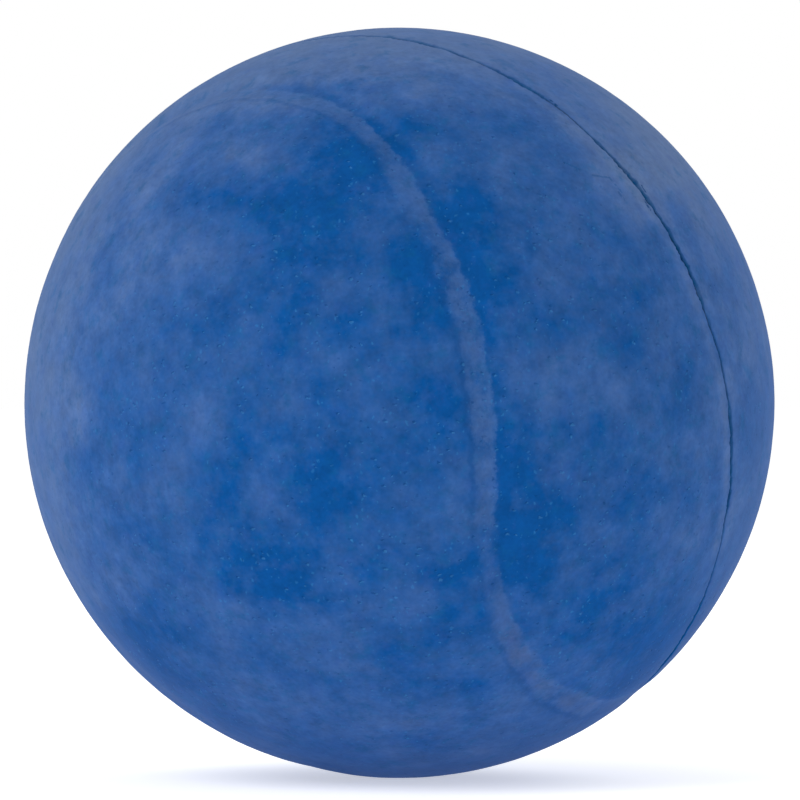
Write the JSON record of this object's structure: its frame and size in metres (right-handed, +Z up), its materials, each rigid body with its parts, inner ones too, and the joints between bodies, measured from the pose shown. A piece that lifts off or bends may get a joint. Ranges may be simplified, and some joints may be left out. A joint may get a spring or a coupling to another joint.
{
  "type": "foam ball",
  "caption": "Matt blue sponge-rubber ball with a sunk tennis-style seam and a fine mould joint line, for throwing, bouncing and fetching.",
  "frame": {"origin": "the ball's centre", "axes": "+Z up as the ball lies on a floor; -Y towards the viewer of the picture; the joint plane stands nearly upright, and its normal points back, right and a little up"},
  "size_m": [0.065, 0.065, 0.065],
  "materials": {
    "core_foam": "matte",
    "skin_rubber": "matte",
    "joint_rubber": "matte"
  },
  "bodies": {
    "root": {"foam_core": "core_foam", "front_skin_half": "skin_rubber", "back_skin_half": "skin_rubber", "joint_bead": "joint_rubber"}
  },
  "joints": []
}
